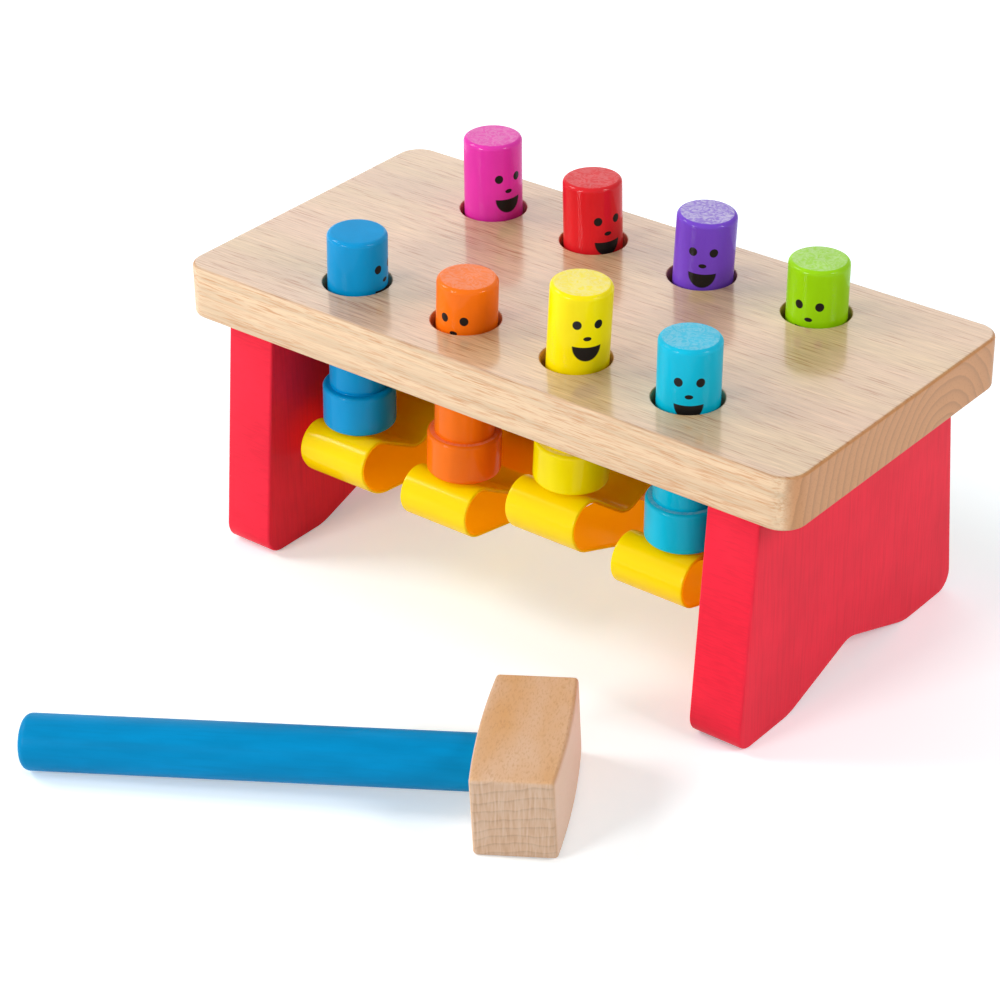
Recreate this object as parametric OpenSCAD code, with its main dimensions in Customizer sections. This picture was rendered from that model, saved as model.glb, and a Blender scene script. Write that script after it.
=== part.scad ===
// Peg pounding bench with its mallet: eight painted pegs stand in a wooden bench, two by two on
// four springy plastic loops that rock on one rod, so that a peg driven down lifts its partner.
// X runs along the bench, -Y is the side with the mallet, Z is up from the floor.
// The origin is on the floor, in the middle of the space that bench and mallet take together.

/* [Bench top] */
// Length of the bench top
bench_l = 256; // [220:1:320]
// Depth of the bench top, front to back
bench_d = 128; // [115:1:160]
// Thickness of the bench top
top_t = 19.3; // [14:0.1:26]
// Height of the top face above the floor
top_h = 107.3; // [95:0.1:130]
// Corner radius of the bench top, seen from above
top_corner_r = 8.8; // [4:0.1:14]
// Rounding of the bench top's long and short edges
top_edge_r = 1.2; // [0.5:0.1:3.5]

/* [Legs] */
// Thickness of a leg board
leg_t = 20; // [14:0.5:22]
// Distance from the end of the bench top to the outer face of the leg
leg_inset = 15.3; // [6:0.1:18]
// Depth of a leg where it meets the bench top
leg_top_d = 115.5; // [90:0.5:118]
// Depth of a leg at the floor
leg_foot_d = 133; // [120:0.5:150]
// Width of the arch between the two feet of a leg
arch_w = 72; // [40:0.5:84]
// Height of the arch at its middle
arch_h = 12.2; // [6:0.1:20]
// Rounding of a leg's outer bottom corners
foot_corner_r = 7; // [2:0.5:10]
// Rounding where a foot turns up into the arch
arch_end_r = 22; // [6:0.5:34]
// Rounding at the middle of the arch
arch_top_r = 11; // [3:0.5:20]

/* [Leg dowels] */
// Diameter of the hidden dowels between leg and bench top
leg_dowel_d = 8; // [5:0.5:10]
// Length of a leg dowel
leg_dowel_l = 32; // [20:1:40]
// Length of the dowel that sits in the bench top
leg_dowel_up = 12; // [6:0.5:13]
// Distance between neighbouring dowels of a leg
leg_dowel_gap = 38; // [25:1:44]

/* [Peg holes] */
// Diameter of the holes that the pegs slide in
peg_hole_d = 24; // [22.5:0.1:25.4]
// Room between a leg and the loop beside it
loop_to_leg = 8.3; // [3:0.1:16]
// Distance between the front row and the rear row
row_gap = 75; // [66:0.5:80]

/* [Pegs] */
// Diameter of a peg's shaft
peg_d = 21.1; // [18:0.1:21.5]
// Whole length of a peg
peg_l = 74.5; // [71:0.1:77.5]
// Diameter of the collar at a peg's foot
collar_d = 26; // [25.5:0.1:28]
// Height of the collar
collar_h = 15.2; // [10:0.1:17]
// Rounding of a peg's top
peg_top_r = 1.7; // [0.5:0.1:4]
// Rounding of the collar's edges
collar_edge_r = 1.2; // [0.4:0.1:2.4]

/* [Height of each peg above the bench top] */
// Blue peg, front row
blue_up = 19.2; // [9:0.1:24]
// Orange peg, front row
orange_up = 16.2; // [11:0.1:24]
// Yellow peg, front row
yellow_up = 28.4; // [15:0.1:28.8]
// Cyan peg, front row
cyan_up = 22.2; // [13:0.1:26]
// Magenta peg, rear row
magenta_up = 28.4; // [15:0.1:30]
// Red peg, rear row
red_up = 24.1; // [15:0.1:28]
// Purple peg, rear row
purple_up = 24.6; // [15:0.1:28]
// Green peg, rear row
green_up = 20.2; // [13:0.1:26]

/* [Lean of each peg in its hole, degrees to the right] */
// Front row, left to right: blue, orange, yellow, cyan
front_lean = [1.8, 2.7, 3.7, 1.2]; // [-4:0.1:4]
// Rear row, left to right: magenta, red, purple, green
rear_lean = [0.3, -0.9, 3.2, 0.9]; // [-4:0.1:4]

/* [Flex loops] */
// Width of a loop, along the bench
loop_w = 28.8; // [20:0.1:34]
// Thickness of the plastic
loop_wall = 1.4; // [1:0.1:2.2]
// Distance from the rod to the middle of a loop's lobe
lobe_out = 46.2; // [43:0.1:48]
// Radius of the lobe that a peg stands on, at the middle of the plastic
lobe_r = 8.2; // [7.2:0.1:9.2]
// Distance from the rod to the bottom of the valley beside it
valley_out = 22.8; // [21:0.1:24]
// Radius of the valley, at the middle of the plastic
valley_r = 9.2; // [8.2:0.1:10.2]
// Depth of the valley below the middle of the lobe
valley_drop = 4; // [2:0.1:5]
// Depth of the lowest loop's belly below the middle of the rod
belly_drop = 19.9; // [18:0.1:22]
// Radius of the belly, at the middle of the plastic
belly_r = 90; // [80:1:100]

/* [Rod] */
// Diameter of the rod that carries the loops
rod_d = 16; // [12:0.5:18]
// Depth of the middle of the rod below the bench's top face
rod_drop = 62.3; // [59.3:0.1:64.3]
// Depth of the rod's sockets in the legs
rod_socket = 10; // [5:0.5:12]

/* [Mallet] */
// Width of the mallet head at its middle, along the handle
head_w = 29.5; // [24:0.5:34]
// How much each side of the head draws in towards its faces
head_bow = 1.2; // [0:0.1:2]
// Length of the mallet head, from face to face
head_l = 59.7; // [46:0.5:70]
// Height of the mallet head as it lies
head_h = 29; // [24:0.5:34]
// Rounding of the edges of the mallet head
head_edge_r = 1.6; // [0.6:0.1:4]
// Rounding of the handle's free end
handle_end_r = 2.8; // [1:0.1:4]
// Diameter of the handle
handle_d = 18.9; // [14:0.1:21]
// Distance from the middle of the head to the free end of the handle
handle_reach = 164.8; // [120:0.1:190]
// Diameter of the tenon that the handle is glued by
tenon_d = 12; // [8:0.5:13]
// Length of the tenon
tenon_l = 19; // [10:0.5:20]
// Distance from the middle of the bench to the middle of the head, towards the front
mallet_ahead = 127.2; // [115:0.1:200]
// Distance from the middle of the bench to the middle of the head, to the right
mallet_aside = 73.4; // [40:0.1:110]
// Angle between the handle and the bench
mallet_turn = 30; // [15:0.1:45]

/* [Fits] */
// Clearance round a glued dowel, rod end or tenon
glue_gap = 0.05; // [0.02:0.01:0.2]
// Clearance between the rod and the loops that rock on it
rod_play = 0.3; // [0.2:0.05:0.6]
// Clearance between a peg's foot and its loop
seat_gap = 0.4; // [0.3:0.05:0.6]

/* [Hidden] */
$fn = 64;
hull_fn = 32;
corner_steps = 6;
arc_steps = 14;
cut_overrun = 1;

// Place of each hole along its row, as a share of half the row's length
front_row_share = [-0.997, -0.306, 0.361, 1.004];
rear_row_share = [-0.987, -0.34, 0.329, 1.004];
// Place of each loop along the bench, as a share of half the row's length
loop_share = [-1.002, -0.348, 0.32, 0.956];
front_up = [blue_up, orange_up, yellow_up, cyan_up];
rear_up = [magenta_up, red_up, purple_up, green_up];
pairs = len(front_up);
leg_dowels = 3;

// Radius of the lower half of each loop's lobes, as a share of the radius of the upper half, and
// depth of each loop's belly, as a share of the lowest one's: no two loops are pressed alike
lobe_lower_share = [1.8, 1.1, 1.35, 1.1];
belly_drop_share = [0.885, 1, 0.79, 0.95];
// Angle below the level at which a lobe's upper half goes over into its lower half
lobe_join = 16;

under_h = top_h - top_t;
middle_h = top_h - top_t / 2;
rod_h = top_h - rod_drop;
leg_in = bench_l / 2 - leg_inset - leg_t;
// Distance between the first and last hole of a row
row_l = 2 * (leg_in - loop_to_leg - loop_w / 2);

// Step along the bowed sides of the mallet head, as a share of half its length
head_step_share = 0.5;

// The mallet lies on one edge of its head and on the end of its handle. mallet_step goes from the
// middle of the end's rounding to the middle of that edge's rounding.
mallet_step = [handle_reach - handle_end_r - head_w / 2 + head_edge_r,
    (head_h - handle_d) / 2 - head_edge_r + handle_end_r];
mallet_tilt = heading(mallet_step) + asin((head_edge_r - handle_end_r) / norm(mallet_step));
mallet_h = (head_w / 2 - head_edge_r) * sin(mallet_tilt)
    + (head_h / 2 - head_edge_r) * cos(mallet_tilt) + head_edge_r;
mallet_front = mallet_ahead + handle_reach * sin(mallet_turn) + handle_d / 2 * cos(mallet_turn);
// The bench stands behind the origin by as much as the mallet lies before it
bench_y = (mallet_front - leg_foot_d / 2) / 2;

function unit(v) = v / norm(v);
function along(a) = [cos(a), sin(a)];
function heading(v) = atan2(v[1], v[0]);
function flat(v) = [v[0], v[1]];
function half_turn(a) = a > 180 ? a - 360 : a < -180 ? a + 360 : a;
function arc(c, r, a0, a1, steps) = [for (k = [0:steps]) c + r * along(a0 + (a1 - a0) * k / steps)];
function mirrored(pts) = [for (k = [len(pts) - 1:-1:0]) [-pts[k][0], pts[k][1]]];

// Outline whose corners are given as [x, y, rounding]
function rounded(corners) = [for (i = [0:len(corners) - 1])
    let (p = flat(corners[i]),
        r = corners[i][2],
        u = unit(flat(corners[(i + len(corners) - 1) % len(corners)]) - p),
        v = unit(flat(corners[(i + 1) % len(corners)]) - p),
        reach = unit(u + v) * r / sin(acos(u * v) / 2),
        a0 = heading(u * (reach * u) - reach),
        turn = half_turn(heading(v * (reach * v) - reach) - a0))
    each r == 0 ? [p] : arc(p + reach, r, a0, a0 + turn, corner_steps)];

// Height of the low side of a peg's foot, when the peg's top stands up above the bench and the
// peg leans in its hole
function foot_h(up, lean) = top_h + up - peg_l * cos(lean) - collar_d / 2 * sin(abs(lean));
function front_lobe_top(i) = foot_h(front_up[i], front_lean[i]) - seat_gap;
function rear_lobe_top(i) = foot_h(rear_up[i], rear_lean[i]) - seat_gap;
// A loop's turn about the rod, with its front lobe up, and the place of its lobes before that turn
function loop_turn(i) = asin((front_lobe_top(i) - rear_lobe_top(i)) / 2 / lobe_out);
function lobe_rise(i) = ((front_lobe_top(i) + rear_lobe_top(i)) / 2 - rod_h - lobe_r - loop_wall / 2)
    / cos(loop_turn(i));

// Half of a loop's outline in its own frame, with the rod at zero. The plastic runs like a belt:
// over the saddle, under the valley, round the lobe and back through the belly below the rod.
// side is the distance from the middle of the wall, positive outside and negative inside.
function loop_half(i, side) =
    let (saddle_r = rod_d / 2 + rod_play + loop_wall / 2,
        lobe = [lobe_out, lobe_rise(i)],
        valley = [valley_out, lobe[1] - valley_drop + valley_r],
        lower_r = lobe_r * lobe_lower_share[i],
        lower = lobe - (lower_r - lobe_r) * along(-lobe_join),
        belly = [0, belly_r - belly_drop * belly_drop_share[i]],
        down = asin((saddle_r + valley_r) / norm(valley)) - heading(valley),
        up = asin((lobe_r + valley_r) / norm(lobe - valley)) + heading(lobe - valley),
        slope = asin((belly_r - lower_r) / norm(lower - belly)) + heading(lower - belly))
    concat(arc([0, 0], saddle_r + side, 90, 90 - down, arc_steps),
        arc(valley, valley_r - side, 270 - down, 270 + up, arc_steps),
        arc(lobe, lobe_r + side, 90 + up, -lobe_join, arc_steps),
        arc(lower, lower_r + side, -lobe_join, slope - 90, arc_steps),
        arc(belly, belly_r + side, slope - 90, -90, arc_steps));

// Lays a drawing of depth and height upright, with its thickness along the bench
module upright() {
    rotate([90, 0, 90])
        children();
}

module at_hole(share, row) {
    translate([share * row_l / 2, bench_y + row * row_gap / 2, middle_h])
        children();
}

module at_leg_dowels(side) {
    for (k = [0:leg_dowels - 1])
        translate([side * (leg_in + leg_t / 2), bench_y + (k - (leg_dowels - 1) / 2) * leg_dowel_gap,
            under_h + leg_dowel_up - leg_dowel_l])
            children();
}

module leg_dowel(gap) {
    translate([0, 0, -gap])
        cylinder(d = leg_dowel_d + 2 * gap, h = leg_dowel_l + 2 * gap);
}

module rod(gap) {
    reach = leg_in + rod_socket + gap;
    translate([-reach, bench_y, rod_h])
        rotate([0, 90, 0])
            cylinder(d = rod_d + 2 * gap, h = 2 * reach);
}

// Ring that fills one corner of the bench top, with the rounding of its edge
module corner_ring() {
    rotate_extrude($fn = hull_fn)
        translate([top_corner_r - top_edge_r, 0])
            circle(r = top_edge_r);
}

module bench_top() color("burlywood")
    difference() {
        translate([0, bench_y, 0])
            hull()
                for (x = [-1, 1], y = [-1, 1], z = [under_h + top_edge_r, top_h - top_edge_r])
                    translate([x * (bench_l / 2 - top_corner_r), y * (bench_d / 2 - top_corner_r), z])
                        corner_ring();
        for (i = [0:pairs - 1]) {
            at_hole(front_row_share[i], -1)
                cylinder(d = peg_hole_d, h = top_t + 2 * cut_overrun, center = true);
            at_hole(rear_row_share[i], 1)
                cylinder(d = peg_hole_d, h = top_t + 2 * cut_overrun, center = true);
        }
        for (side = [-1, 1])
            at_leg_dowels(side)
                leg_dowel(glue_gap);
    }

// Leg board: two feet with an arch between them, wider at the floor than at the top
module leg(side) color("crimson")
    difference() {
        translate([side * (leg_in + leg_t / 2) - leg_t / 2, bench_y, 0])
            upright()
                linear_extrude(leg_t)
                    polygon(rounded([
                        [-leg_top_d / 2, under_h, 0],
                        [-leg_foot_d / 2, 0, foot_corner_r],
                        [-arch_w / 2, 0, arch_end_r],
                        [0, arch_h, arch_top_r],
                        [arch_w / 2, 0, arch_end_r],
                        [leg_foot_d / 2, 0, foot_corner_r],
                        [leg_top_d / 2, under_h, 0]]));
        at_leg_dowels(side)
            leg_dowel(glue_gap);
        rod(glue_gap);
    }

module leg_dowel_set(side) color("wheat")
    at_leg_dowels(side)
        leg_dowel(0);

module loop_rod() color("tan")
    rod(0);

module flex_loop(i) color("gold")
    translate([loop_share[i] * row_l / 2, bench_y, rod_h])
        rotate([-loop_turn(i), 0, 0])
            translate([-loop_w / 2, 0, 0])
                upright()
                    linear_extrude(loop_w)
                        difference() {
                            polygon(loop_outline(i, loop_wall / 2));
                            polygon(loop_outline(i, -loop_wall / 2));
                        }

function loop_outline(i, side) = concat(loop_half(i, side), mirrored(loop_half(i, side)));

// Turned peg: a shaft with a rounded top and a wider collar at its foot
module peg(share, row, up, lean)
    at_hole(share, row)
        rotate([0, lean, 0])
            translate([0, 0, (top_h + up - middle_h) / cos(lean) - peg_l])
                rotate_extrude()
                    polygon(concat([[0, 0]],
                        arc([collar_d / 2 - collar_edge_r, collar_edge_r], collar_edge_r, -90, 0,
                            corner_steps),
                        arc([collar_d / 2 - collar_edge_r, collar_h - collar_edge_r], collar_edge_r,
                            0, 90, corner_steps),
                        [[peg_d / 2, collar_h]],
                        arc([peg_d / 2 - peg_top_r, peg_l - peg_top_r], peg_top_r, 0, 90,
                            corner_steps),
                        [[0, peg_l]]));

module front_peg(i)
    peg(front_row_share[i], -1, front_up[i], front_lean[i]);

module rear_peg(i)
    peg(rear_row_share[i], 1, rear_up[i], rear_lean[i]);

module at_mallet() {
    translate([mallet_aside, bench_y - mallet_ahead, mallet_h])
        rotate([0, 0, mallet_turn])
            rotate([0, -mallet_tilt, 0])
                children();
}

module mallet_head() color("navajowhite")
    at_mallet()
        difference() {
            hull()
                for (x = [-1, 1], y = [-1:head_step_share:1], z = [-1, 1])
                    translate([x * (head_w / 2 - head_edge_r - head_bow * y * y),
                        y * (head_l / 2 - head_edge_r), z * (head_h / 2 - head_edge_r)])
                        sphere(r = head_edge_r, $fn = hull_fn);
            translate([-head_w / 2 - cut_overrun, 0, 0])
                rotate([0, 90, 0])
                    cylinder(d = tenon_d + 2 * glue_gap, h = tenon_l + glue_gap + cut_overrun);
        }

module mallet_handle() color("deepskyblue")
    at_mallet()
        translate([-head_w / 2 + tenon_l, 0, 0])
            rotate([0, -90, 0])
                rotate_extrude()
                    polygon(concat([[0, 0], [tenon_d / 2, 0], [tenon_d / 2, tenon_l + glue_gap],
                        [handle_d / 2, tenon_l + glue_gap]],
                        arc([handle_d / 2 - handle_end_r,
                            handle_reach - head_w / 2 + tenon_l - handle_end_r],
                            handle_end_r, 0, 90, corner_steps),
                        [[0, handle_reach - head_w / 2 + tenon_l]]));

bench_top();
leg(-1);  // left_leg
leg(1);  // right_leg
leg_dowel_set(-1);  // left_leg_dowels
leg_dowel_set(1);  // right_leg_dowels
loop_rod();
flex_loop(0);  // flex_loop_1
flex_loop(1);  // flex_loop_2
flex_loop(2);  // flex_loop_3
flex_loop(3);  // flex_loop_4
color("dodgerblue") front_peg(0);  // blue_peg
color("darkorange") front_peg(1);  // orange_peg
color("yellow") front_peg(2);  // yellow_peg
color("deepskyblue") front_peg(3);  // cyan_peg
color("deeppink") rear_peg(0);  // magenta_peg
color("red") rear_peg(1);  // red_peg
color("rebeccapurple") rear_peg(2);  // purple_peg
color("yellowgreen") rear_peg(3);  // green_peg
mallet_head();
mallet_handle();
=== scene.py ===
import math

import bmesh
import bpy
import numpy as np
from mathutils import Matrix, Vector


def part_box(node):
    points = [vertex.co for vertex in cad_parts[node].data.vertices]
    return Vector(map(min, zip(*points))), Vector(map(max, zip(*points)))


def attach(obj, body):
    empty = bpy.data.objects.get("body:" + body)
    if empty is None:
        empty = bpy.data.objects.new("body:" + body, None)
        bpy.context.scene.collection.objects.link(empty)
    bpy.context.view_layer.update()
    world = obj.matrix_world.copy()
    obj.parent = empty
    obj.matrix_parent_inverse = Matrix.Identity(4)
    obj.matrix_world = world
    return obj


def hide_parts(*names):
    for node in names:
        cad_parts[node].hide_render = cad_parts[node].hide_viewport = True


bl_info = {
    "name": "Peg Pounding Bench",
    "version": (1, 0, 0),
    "blender": (4, 5, 0),
    "location": "3D View > Sidebar > Pounding Bench",
    "description": "Finished surfaces of a wooden pounding bench, its pegs and its mallet",
    "category": "Object",
}

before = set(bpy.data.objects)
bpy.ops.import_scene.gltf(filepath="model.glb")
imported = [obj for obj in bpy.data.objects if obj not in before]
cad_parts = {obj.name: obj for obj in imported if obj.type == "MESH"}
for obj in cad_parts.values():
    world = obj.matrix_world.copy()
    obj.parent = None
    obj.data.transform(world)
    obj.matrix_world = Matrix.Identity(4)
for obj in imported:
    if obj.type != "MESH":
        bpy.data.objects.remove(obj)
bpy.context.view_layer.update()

MM = 0.001
MERGE = 1e-6


def cad_mm(node):
    """A CAD node's lowest corner, highest corner and middle, in millimetres."""
    low, high = np.round(np.array(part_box(node)) / MM, 3)
    return low, high, np.round((low + high) / 2, 3)


# Places, in millimetres. Depths count from the middle of the bench, heights from the floor.
BOARD_LOW, BOARD_HIGH, BOARD_MIDDLE = cad_mm("bench_top")
HALF_L, HALF_D = BOARD_HIGH[:2] - BOARD_MIDDLE[:2]
BENCH_Y = BOARD_MIDDLE[1]
UNDER_H, TOP_H = BOARD_LOW[2], BOARD_HIGH[2]
LEG_IN, LEG_OUT = [corner[0] for corner in cad_mm("right_leg")[:2]]
ROD_REACH = cad_mm("loop_rod")[1][0]
ROD_H = cad_mm("loop_rod")[2][2]
HALF_ROW_GAP = round(BENCH_Y - cad_mm("blue_peg")[2][1], 3)

# Outline of a leg from its front top corner round the feet to its rear top corner, as (depth,
# height, rounding)
LEG_HALF_TOP = 57.75
LEG_HALF_FOOT = 66.5
ARCH_HALF = 36.0
ARCH_H = 12.2
LEG_OUTLINE = [(-LEG_HALF_TOP, UNDER_H, 0.0), (-LEG_HALF_FOOT, 0.0, 7.0), (-ARCH_HALF, 0.0, 22.0),
               (0.0, ARCH_H, 11.0), (ARCH_HALF, 0.0, 22.0), (LEG_HALF_FOOT, 0.0, 7.0),
               (LEG_HALF_TOP, UNDER_H, 0.0)]
# Where the board is divided between its holes, so that each cell holds one hole
BOARD_CUTS = [-46.2, 0.4, 46.9]

# Each peg as (colour, hole's place along the bench, row, height above the board, lean in degrees
# to the right, bearing of its printed face in degrees, depth of the eyes below the peg's top, how
# strongly a painted reflection of the white surroundings whitens its top)
PEGS = [
    ("blue", -69.79, -1, 19.2, 1.8, 12.7, 11.1, 0.0),
    ("orange", -21.42, -1, 16.2, 2.7, -77.0, 11.6, 0.11),
    ("yellow", 25.27, -1, 28.4, 3.7, -39.2, 10.4, 0.22),
    ("cyan", 70.28, -1, 22.2, 1.2, -55.0, 11.5, 0.14),
    ("magenta", -69.09, 1, 28.4, 0.3, -20.0, 12.8, 0.14),
    ("red", -23.8, 1, 24.1, -0.9, -23.0, 12.6, 0.09),
    ("purple", 23.03, 1, 24.6, 3.2, -59.3, 10.7, 0.36),
    ("green", 70.28, 1, 20.2, 0.9, -73.3, 13.1, 0.19),
]

# Each plastic loop as (turn in degrees with its front up, height of its lobes over the rod,
# lower radius of a lobe, depth of its belly)
LOOPS = [
    (-5.90, 2.09, 14.76, 17.61),
    (-5.11, -1.72, 9.02, 19.90),
    (2.31, 4.36, 11.07, 15.72),
    (1.20, -0.53, 9.02, 18.91),
]
SADDLE_R = 9.0
VALLEY_OUT = 22.8
VALLEY_R = 9.2
VALLEY_DROP = 4.0
LOBE_OUT = 46.2
LOBE_R = 8.2
LOBE_JOIN = math.radians(16.0)
BELLY_R = 90.0
# A point in the hollow of each half of a loop, out from the rod's middle and above it
HOLLOW_OUT = 23.0
HOLLOW_UP = -10.0

MALLET_AT = (73.4, -51.558)
MALLET_TURN = math.radians(30.0)
HANDLE_REACH = 164.8
TENON_L = 19.0

# The face printed on a peg, in centimetres: each part's place, down from the middle of the eyes,
# and its half axes across and down
EYE_OUT, EYE_HALF = 0.366, (0.152, 0.162)
NOSE_DOWN, NOSE_HALF = 0.500, (0.138, 0.080)
MOUTH_DOWN, MOUTH_HALF = 0.79, (0.497, 0.545)
LIP_DOWN, LIP_BOW = 0.818, 0.12

# The photograph's camera: the eye, and its right, down and forward directions
EYE = (557.134, -664.322, 572.198)
VIEW_RIGHT = (0.784145, 0.620428, -0.013615)
VIEW_DOWN = (0.305831, -0.405436, -0.861446)
VIEW_AHEAD = (-0.539985, 0.671335, -0.507667)
LENS_MM = 108.736
SENSOR_MM = 36.0

# Softboxes as (name, place in metres, side in metres, power in watts), aimed at the bench
SOFTBOXES = [
    ("left_softbox", (-1.45, -0.60, 1.30), 0.7, 17.2),
    ("front_softbox", (-0.45, -1.80, 0.80), 0.6, 19.0),
    ("right_softbox", (1.30, 0.20, 0.95), 0.5, 8.4),
    ("rear_left_softbox", (-1.25, 1.65, 1.26), 1.8, 10.5),
]
AIM = Vector((0.0, 0.05, 0.06))


def linear(code):
    """The linear red, green and blue of an sRGB hex colour."""
    values = [int(code[i:i + 2], 16) / 255 for i in (0, 2, 4)]
    return tuple(v / 12.92 if v <= 0.04045 else ((v + 0.055) / 1.055) ** 2.4 for v in values)


def length(name, description, default_mm):
    """A length that the user may change, in the scene's unit."""
    return bpy.props.FloatProperty(name=name, description=description, default=default_mm * MM,
                                   min=0.0, unit="LENGTH", precision=4)


def colour(name, description, code):
    """A colour that the user may change."""
    return bpy.props.FloatVectorProperty(name=name, description=description, subtype="COLOR",
                                         size=3, min=0.0, max=1.0, default=linear(code))


class PoundingBenchSizes(bpy.types.PropertyGroup):
    """Sizes of the finished surfaces."""

    board_corner: length("Board corner", "Corner rounding of the board, from above", 8.8)
    board_edge: length("Board edge", "Rounding of the board's edges", 1.2)
    hole_d: length("Hole diameter", "Diameter of the holes for the pegs", 24.0)
    hole_rim: length("Hole rim", "Rounding of the rim of each hole", 0.6)
    leg_edge: length("Leg edge", "Rounding of the legs' edges", 0.9)
    rod_d: length("Rod diameter", "Diameter of the rod under the board", 16.0)
    loop_w: length("Loop width", "Width of a plastic loop, along the bench", 28.8)
    loop_wall: length("Loop wall", "Thickness of the plastic", 1.4)
    peg_d: length("Peg diameter", "Diameter of a peg's shaft", 21.1)
    peg_l: length("Peg length", "Whole length of a peg", 74.5)
    peg_top: length("Peg top rounding", "Rounding of a peg's top", 1.7)
    collar_d: length("Collar diameter", "Diameter of the collar at a peg's foot", 26.0)
    collar_h: length("Collar height", "Height of the collar", 15.2)
    collar_edge: length("Collar edge", "Rounding of the collar's edges", 1.2)
    head_w: length("Head width", "Width of the mallet head at its middle", 29.5)
    head_l: length("Head length", "Length of the mallet head", 59.7)
    head_h: length("Head height", "Height of the mallet head as it lies", 29.0)
    head_bow: length("Head bow", "How far each side of the head draws in at its faces", 1.2)
    head_edge: length("Head edge", "Rounding of the mallet head's edges", 1.6)
    handle_d: length("Handle diameter", "Diameter of the mallet's handle", 18.9)
    handle_edge: length("Handle end", "Rounding of the handle's free end", 2.8)


class PoundingBenchColours(bpy.types.PropertyGroup):
    """Colours of the finished surfaces."""

    wood: colour("Board top", "Wood of the board's top", "CCB093")
    wood_edge: colour("Board front", "Wood of the board's long edges", "E6C9A6")
    wood_end: colour("Board end", "Wood of the board's ends", "CA9468")
    leg_red: colour("Leg red", "Enamel of the legs", "F42A42")
    blue: colour("Blue", "Enamel of the blue peg and the handle", "0096D4")
    orange: colour("Orange", "Enamel of the orange peg", "FC760E")
    yellow: colour("Yellow", "Enamel of the yellow peg", "FFE700")
    cyan: colour("Cyan", "Enamel of the cyan peg", "00BCDE")
    magenta: colour("Magenta", "Enamel of the magenta peg", "E636AE")
    red: colour("Red", "Enamel of the red peg", "DE2028")
    purple: colour("Purple", "Enamel of the purple peg", "7646CB")
    green: colour("Green", "Enamel of the green peg", "99D606")
    plastic: colour("Loop plastic", "Plastic of the loops", "FFFA00")
    beech: colour("Mallet head", "Wood of the mallet head", "DAB698")
    dowel: colour("Dowel wood", "Wood of the rod and the hidden dowels", "DEC097")


def unit(v):
    """Each vector along the last axis, divided by its length."""
    return v / np.linalg.norm(v, axis=-1, keepdims=True)


def turned(angles):
    """Unit vectors in the plane at these angles."""
    return np.stack([np.cos(angles), np.sin(angles)], -1)


def arc(centre, radius, start, end, steps):
    """Points on a circle: the centre plus the radius times the unit vector, in equal turns."""
    return np.asarray(centre) + radius * turned(np.linspace(start, end, steps + 1))


def line(start, end, steps):
    """Equal steps on a straight line, without its last point."""
    share = np.arange(steps)[:, None] / steps
    return np.asarray(start) * (1 - share) + np.asarray(end) * share


def rounded_line(corners, steps):
    """An open line whose corners are swapped for arcs. The arc's centre lies on the corner's
    bisector, its radius over the sine of half the corner's angle away from it."""
    pieces = []
    for k, (x, y, radius) in enumerate(corners):
        at = np.array([x, y])
        if radius == 0:
            pieces.append(at[None])
            continue
        u = unit(np.array(corners[k - 1][:2]) - at)
        v = unit(np.array(corners[k + 1][:2]) - at)
        reach = unit(u + v) * radius / math.sin(math.acos(u @ v) / 2)
        start = math.atan2(*(u * (reach @ u) - reach)[::-1])
        turn = math.atan2(*(v * (reach @ v) - reach)[::-1]) - start
        turn = (turn + math.pi) % (2 * math.pi) - math.pi
        pieces.append(arc(at + reach, radius, start, start + turn, steps))
    return np.concatenate(pieces)


def even(path, spacing):
    """The same line with points at equal distances along it."""
    run = np.concatenate([[0], np.cumsum(np.linalg.norm(np.diff(path, axis=0), axis=1))])
    at = np.linspace(0, run[-1], round(run[-1] / spacing) + 1)
    return np.stack([np.interp(at, run, path[:, k]) for k in range(path.shape[1])], -1)


def patch(top, bottom, left, right):
    """A sheet between four lines (a Coons patch): the blend of top and bottom plus the blend of
    left and right, minus the blend of the four corners."""
    u = np.linspace(0, 1, len(top))[None, :, None]
    v = np.linspace(0, 1, len(left))[:, None, None]
    corners = ((1 - u) * (1 - v) * top[0] + u * (1 - v) * top[-1]
               + (1 - u) * v * bottom[0] + u * v * bottom[-1])
    return ((1 - v) * top[None] + v * bottom[None]
            + (1 - u) * left[:, None] + u * right[:, None] - corners)


def quads(rows, columns, close_rows, close_columns):
    """Corners of each cell of a grid, with or without going round in either direction. The
    second array counts on past the join, for a map that does not go round."""
    i = np.arange(rows if close_rows else rows - 1)[:, None, None]
    j = np.arange(columns if close_columns else columns - 1)[None, :, None]
    i = i + np.array([0, 0, 1, 1])
    j = j + np.array([0, 1, 1, 0])
    width = columns + close_columns
    return ((i % rows) * columns + j % columns).reshape(-1, 4), (i * width + j).reshape(-1, 4)


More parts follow.
